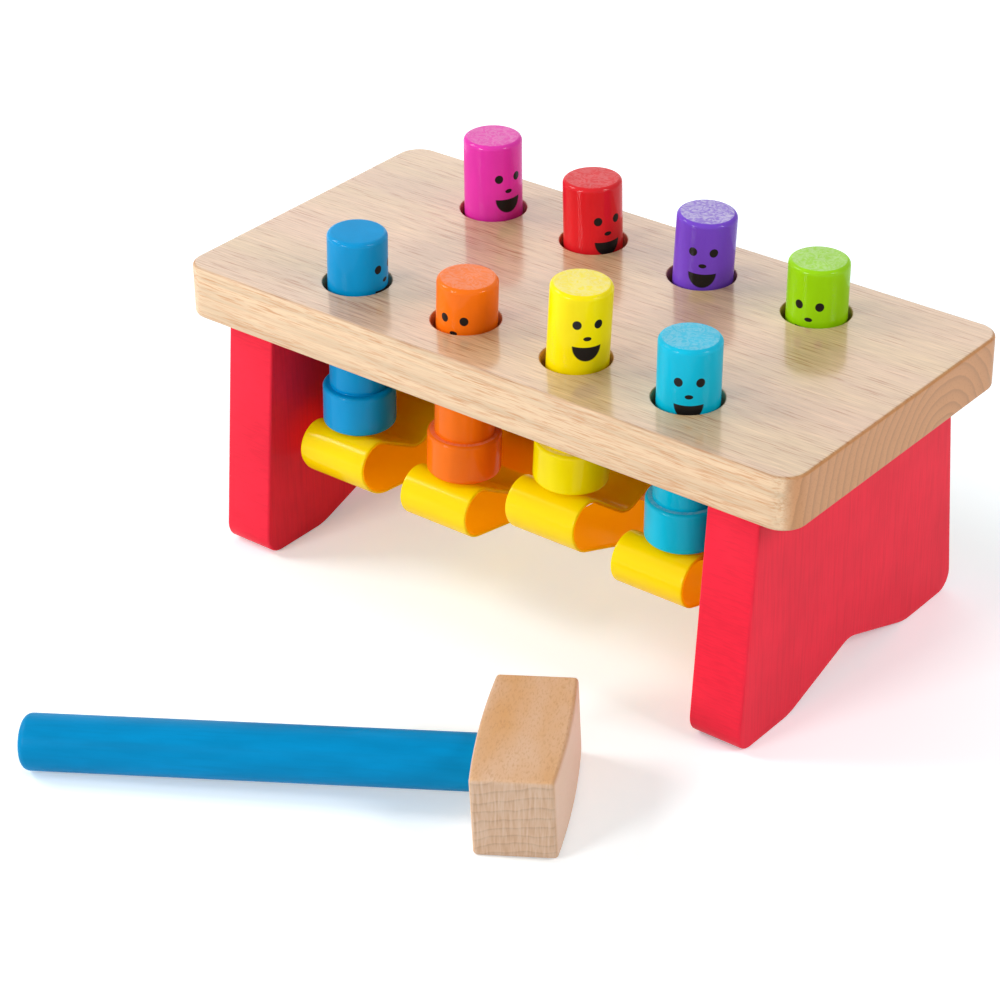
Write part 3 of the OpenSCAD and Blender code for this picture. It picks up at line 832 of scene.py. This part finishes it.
def loop_sheets(x, turn, rise, lower_r, belly_drop, sizes):
    """A plastic loop: a flat strip with rounded edges carried round the loop's line."""
    half_w, half_t = sizes.loop_w / MM / 2, sizes.loop_wall / MM / 2
    edge, land = half_t * 0.7, 0.5
    core = np.array([half_w - edge, half_t - edge])
    section = []
    for k, corner in enumerate([(1, 1), (-1, 1), (-1, -1), (1, -1)]):
        first = k * math.pi / 2
        section.append(arc(core * corner, edge, first, first + math.pi / 2, 4))
        # Two narrow lands and a middle line hold each flat side flat
        if k % 2 == 0:
            ahead = np.array([k - 1, 0])
            section.append(section[-1][-1] + np.outer([land, core[0], 2 * core[0] - land], ahead))
    section = np.concatenate(section)
    line_points, outs = strip_path(rise, lower_r, belly_drop)
    flat = line_points[:, None] + outs[:, None] * section[None, :, 1:]
    tilt = math.radians(turn)
    depth = flat[..., 0] * math.cos(tilt) + flat[..., 1] * math.sin(tilt) + BENCH_Y
    height = -flat[..., 0] * math.sin(tilt) + flat[..., 1] * math.cos(tilt) + ROD_H
    along = np.broadcast_to(x + section[None, :, 0], depth.shape)
    return [(np.stack([along, depth, height], -1), True, True)]


def peg_sheets(x, row, up, lean, bearing, eyes, sizes):
    """A peg: one turned profile from the foot up the collar, over a fine groove, up the shaft
    and round the top. The map unrolls it, in centimetres from the middle of the eyes."""
    shaft, whole = sizes.peg_d / MM / 2, sizes.peg_l / MM
    collar, tall, edge = sizes.collar_d / MM / 2, sizes.collar_h / MM, sizes.collar_edge / MM
    bend = sizes.peg_top / MM
    right, groove, crown = math.pi / 2, 0.22, 0.12
    profile = np.concatenate([
        [(0, 0), (collar - edge - 0.6, 0)],
        arc((collar - edge, edge), edge, -right, 0, 6),
        [(collar, edge + 0.5), (collar, tall / 2), (collar, tall - edge - 0.5)],
        arc((collar - edge, tall - edge), edge, 0, right, 6),
        [(shaft + 0.35, tall), (shaft - groove + 0.1, tall), (shaft - groove, tall + 0.12),
         (shaft - groove + 0.06, tall + 0.3), (shaft, tall + 0.5), (shaft, tall + 1.2)],
        line((shaft, tall + 2), (shaft, whole - bend - 0.4), 24),
        arc((shaft - bend, whole - crown - bend), bend, 0, right, 10),
        [(shaft - bend - 0.5, whole - crown * 0.9), (shaft * 0.5, whole - crown * 0.3),
         (0, whole)]])
    lean = math.radians(lean)
    axis = np.array([math.sin(lean), 0, math.cos(lean)])
    middle = (TOP_H + UNDER_H) / 2
    foot = (np.array([x, BENCH_Y + row * HALF_ROW_GAP, middle])
            + axis * ((TOP_H + up - middle) / math.cos(lean) - whole))
    turns = 96
    start = math.radians(bearing) - math.pi
    grid = lathe(profile, foot, axis, (math.cos(lean), 0, -math.sin(lean)), start, turns)
    around = (np.arange(turns + 1) / turns - 0.5) * 2 * math.pi * shaft / 10
    down = (whole - profile[:, 1] - eyes) / 10
    unrolled = np.stack(np.broadcast_arrays(around[None], down[:, None]), -1)
    return [(grid, False, True)], unrolled


def mallet_frame(sizes):
    """The mallet's middle and its own three directions: along the handle towards the head,
    along the head, and up. The tilt lets the end of the handle touch the floor."""
    head_w, head_h = sizes.head_w / MM, sizes.head_h / MM
    edge, end = sizes.head_edge / MM, sizes.handle_edge / MM
    reach = HANDLE_REACH - end - head_w / 2 + edge
    rise = (head_h - sizes.handle_d / MM) / 2 - edge + end
    tilt = math.atan2(rise, reach) + math.asin((edge - end) / math.hypot(rise, reach))
    height = ((head_w / 2 - edge) * math.sin(tilt) + (head_h / 2 - edge) * math.cos(tilt)
              + edge)
    turn = np.array(Matrix.Rotation(MALLET_TURN, 3, "Z"))
    axes = turn @ np.array([[math.cos(tilt), 0, -math.sin(tilt)], [0, 1, 0],
                            [math.sin(tilt), 0, math.cos(tilt)]])
    return np.array([*MALLET_AT, height]), axes


def head_sheets(sizes):
    """The head: a box whose points are held to a core box and pushed out by the edge's radius,
    with its two long sides drawn in by the square of the distance from its middle."""
    edge = sizes.head_edge / MM
    half = np.array([sizes.head_w, sizes.head_l, sizes.head_h]) / MM / 2
    core = half - edge
    middle, axes = mallet_frame(sizes)
    bend = edge * np.tan(np.linspace(math.pi / 4, 0, 7))
    sheets = []
    for flat in range(3):
        a, b = [k for k in range(3) if k != flat]
        grids = []
        for k in (a, b):
            inside = np.linspace(-core[k], core[k], 14)
            inside = np.concatenate([inside[:1], inside[:1] + 0.4, inside[1:-1],
                                     inside[-1:] - 0.4, inside[-1:]])
            grids.append(np.concatenate([-core[k] - bend[:-1], inside,
                                         core[k] + bend[:-1][::-1]]))
        across, along = np.meshgrid(*grids, indexing="ij")
        for sign in (-1, 1):
            outer = np.empty((*across.shape, 3))
            outer[..., a], outer[..., b], outer[..., flat] = across, along, sign * half[flat]
            held = np.clip(outer, -core, core)
            shape = held + edge * unit(outer - held)
            drawn = sizes.head_bow / MM * (shape[..., 1] / core[1]) ** 2 / half[0]
            shape[..., 0] *= 1 - drawn
            sheets.append((middle + shape @ axes.T, False, False))
    return sheets


def handle_sheets(sizes):
    """The handle: a turned profile from the tenon in the head to the rounded free end."""
    radius, end = sizes.handle_d / MM / 2, sizes.handle_edge / MM
    start = sizes.head_w / MM / 2
    tenon = 6.0
    middle, axes = mallet_frame(sizes)
    right = math.pi / 2
    profile = np.concatenate([
        [(0, start - TENON_L), (tenon - 0.5, start - TENON_L), (tenon, start - TENON_L + 0.5),
         (tenon, start + 0.05), (radius - 0.3, start + 0.05), (radius, start + 0.35)],
        line((radius, start + 1), (radius, HANDLE_REACH - end - 0.5), 40),
        arc((radius - end, HANDLE_REACH - end), end, 0, right, 10),
        [(radius - end - 0.6, HANDLE_REACH), (0, HANDLE_REACH)]])
    return [(lathe(profile, middle, -axes[:, 0], axes[:, 1], 0, 96), False, True)]


def make_softbox(scene, name, place, size, power):
    """A square area light that faces the bench."""
    lamp = bpy.data.lights.new(name, "AREA")
    lamp.shape, lamp.size, lamp.energy = "SQUARE", size, power
    made = bpy.data.objects.new(name, lamp)
    made.rotation_euler = (AIM - Vector(place)).to_track_quat("-Z", "Y").to_euler()
    made.location = place
    scene.collection.objects.link(made)


def shown(tree):
    """One for the rays that show the background: from the camera, mirrored or passed through."""
    ray = add(tree, "LightPath")
    mirrored = add(tree, "Math", {0: ray.outputs["Is Camera Ray"],
                                  1: ray.outputs["Is Glossy Ray"]}, operation="MAXIMUM")
    return add(tree, "Math", {0: mirrored, 1: ray.outputs["Is Transmission Ray"]},
               operation="MAXIMUM")


def make_floor(scene):
    """A plain pale floor. For the rays that show the background a little glow lifts it to white
    where no shadow lies."""
    mesh = bpy.data.meshes.new("floor")
    reach = 6.0
    mesh.from_pydata([(-reach, -reach, 0), (reach, -reach, 0), (reach, reach, 0),
                      (-reach, reach, 0)], [], [(0, 1, 2, 3)])
    paper = bpy.data.materials.new("white_paper_floor")
    paper.use_nodes = True
    tree = paper.node_tree
    tree.nodes.clear()
    plain = add(tree, "BsdfDiffuse", {"Color": (0.88, 0.88, 0.88)})
    white = add(tree, "BsdfDiffuse", {"Color": (0.97, 1.0, 1.0)})
    # The glow grows from 0.2 to 1.6 m away, where the lamps no longer reach the floor
    away = add(tree, "TexCoord").outputs["Object"]
    away = add(tree, "VectorMath", {0: away}, operation="LENGTH").outputs["Value"]
    away = add(tree, "MapRange", {0: away, 1: 0.2, 2: 1.6, 3: 0.30, 4: 1.4})
    glow = add(tree, "Emission", {"Color": (0.80, 0.93, 1.0), "Strength": away})
    lifted = add(tree, "AddShader", {0: white, 1: glow})
    seen = shown(tree)
    both = add(tree, "MixShader", {0: seen, 1: plain, 2: lifted})
    add(tree, "OutputMaterial", {"Surface": both})
    mesh.materials.append(paper)
    floor = bpy.data.objects.new("floor", mesh)
    scene.collection.objects.link(floor)


def make_world(scene):
    """A white tent round the object: an even light, and white behind the floor's edge."""
    world = bpy.data.worlds.new("white_tent")
    world.use_nodes = True
    tree = world.node_tree
    tree.nodes.clear()
    even_light = add(tree, "Background", {"Color": (1, 1, 1), "Strength": 0.32})
    white = add(tree, "Background", {"Color": (1, 1, 1), "Strength": 1.0})
    seen = shown(tree)
    both = add(tree, "MixShader", {0: seen, 1: even_light, 2: white})
    add(tree, "OutputWorld", {"Surface": both})
    scene.world = world


def chosen(context):
    """The sizes and colours that the user may change."""
    return context.scene.pounding_sizes, context.scene.pounding_colours


class POUNDING_OT_board(bpy.types.Operator):
    """Makes the board with its eight holes"""

    bl_idname = "pounding_bench.board"
    bl_label = "Board"

    def execute(self, context):
        sizes, colours = chosen(context)
        piece("board", board_sheets(sizes), "bench", ["bench_top"],
              lacquered_board(colours))
        return {"FINISHED"}


class POUNDING_OT_legs(bpy.types.Operator):
    """Makes the two legs, and finishes the dowels hidden in them"""

    bl_idname = "pounding_bench.legs"
    bl_label = "Legs"

    def execute(self, context):
        sizes, colours = chosen(context)
        paint = enamelled_legs(colours)
        for name, side in (("left", -1), ("right", 1)):
            piece(f"{name}_leg_board", leg_sheets(side, sizes), "bench",
                  [f"{name}_leg"], paint)
        wood = bare_dowel(colours, "beech_leg_dowel", 2)
        for name in ("left_leg_dowels", "right_leg_dowels"):
            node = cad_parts[name]
            node.data.materials.clear()
            node.data.materials.append(wood)
        return {"FINISHED"}


class POUNDING_OT_rod(bpy.types.Operator):
    """Makes the rod that carries the loops"""

    bl_idname = "pounding_bench.rod"
    bl_label = "Rod"

    def execute(self, context):
        sizes, colours = chosen(context)
        piece("carrying_rod", rod_sheets(sizes), "bench", ["loop_rod"],
              bare_dowel(colours, "birch_rod", 0))
        return {"FINISHED"}


class POUNDING_OT_loops(bpy.types.Operator):
    """Makes the four plastic loops"""

    bl_idname = "pounding_bench.loops"
    bl_label = "Loops"

    def execute(self, context):
        sizes, colours = chosen(context)
        plastic = moulded_plastic(colours)
        for k, shape in enumerate(LOOPS, 1):
            node = f"flex_loop_{k}"
            sheets = loop_sheets(cad_mm(node)[2][0], *shape, sizes)
            piece(f"plastic_loop_{k}", sheets, f"loop_{k}", [node], plastic)
        return {"FINISHED"}


class POUNDING_OT_pegs(bpy.types.Operator):
    """Makes the eight painted pegs"""

    bl_idname = "pounding_bench.pegs"
    bl_label = "Pegs"

    def execute(self, context):
        sizes, colours = chosen(context)
        for name, x, row, *rest, painted_top_sheen in PEGS:
            sheets, unrolled = peg_sheets(x, row, *rest, sizes)
            paint = enamelled_peg(name, getattr(colours, name), painted_top_sheen)
            piece(f"turned_{name}_peg", sheets, f"{name}_peg", [f"{name}_peg"], paint,
                  unrolled)
        return {"FINISHED"}


class POUNDING_OT_mallet(bpy.types.Operator):
    """Makes the mallet's head and handle"""

    bl_idname = "pounding_bench.mallet"
    bl_label = "Mallet"

    def execute(self, context):
        sizes, colours = chosen(context)
        piece("beech_head", head_sheets(sizes), "mallet", ["mallet_head"],
              lacquered_beech(colours))
        piece("enamelled_handle", handle_sheets(sizes), "mallet",
              ["mallet_handle"], enamelled_handle(colours))
        return {"FINISHED"}


class POUNDING_OT_stage(bpy.types.Operator):
    """Makes the floor, the lights and the camera"""

    bl_idname = "pounding_bench.stage"
    bl_label = "Stage"

    def execute(self, context):
        scene = context.scene
        scene.view_settings.view_transform = "Standard"
        make_floor(scene)
        make_world(scene)
        for name, place, size, power in SOFTBOXES:
            make_softbox(scene, name, place, size, power)
        lens = bpy.data.cameras.new("photo_camera")
        lens.lens, lens.sensor_width, lens.sensor_fit = LENS_MM, SENSOR_MM, "HORIZONTAL"
        lens.clip_end = 20.0
        camera = bpy.data.objects.new("photo_camera", lens)
        columns = np.array([VIEW_RIGHT, np.negative(VIEW_DOWN), np.negative(VIEW_AHEAD)]).T
        place = Matrix(columns.tolist()).to_4x4()
        place.translation = Vector(EYE) * MM
        camera.matrix_world = place
        scene.collection.objects.link(camera)
        scene.camera = camera
        return {"FINISHED"}


OPERATORS = (POUNDING_OT_board, POUNDING_OT_legs, POUNDING_OT_rod, POUNDING_OT_loops,
             POUNDING_OT_pegs, POUNDING_OT_mallet, POUNDING_OT_stage)


class POUNDING_PT_panel(bpy.types.Panel):
    """Lists the pieces that can be made"""

    bl_idname = "POUNDING_PT_panel"
    bl_label = "Pounding Bench"
    bl_space_type = "VIEW_3D"
    bl_region_type = "UI"
    bl_category = "Pounding Bench"

    def draw(self, context):
        for operator in OPERATORS:
            self.layout.operator(operator.bl_idname)
        for group in chosen(context):
            box = self.layout.box()
            for name in group.__annotations__:
                box.prop(group, name)


CLASSES = (PoundingBenchSizes, PoundingBenchColours, *OPERATORS, POUNDING_PT_panel)


def register():
    for one in CLASSES:
        bpy.utils.register_class(one)
    bpy.types.Scene.pounding_sizes = bpy.props.PointerProperty(type=PoundingBenchSizes)
    bpy.types.Scene.pounding_colours = bpy.props.PointerProperty(type=PoundingBenchColours)


def unregister():
    del bpy.types.Scene.pounding_colours
    del bpy.types.Scene.pounding_sizes
    for one in reversed(CLASSES):
        bpy.utils.unregister_class(one)


def main():
    register()
    for operator in OPERATORS:
        group, name = operator.bl_idname.split(".")
        getattr(getattr(bpy.ops, group), name)()


if __name__ == "__main__":
    main()
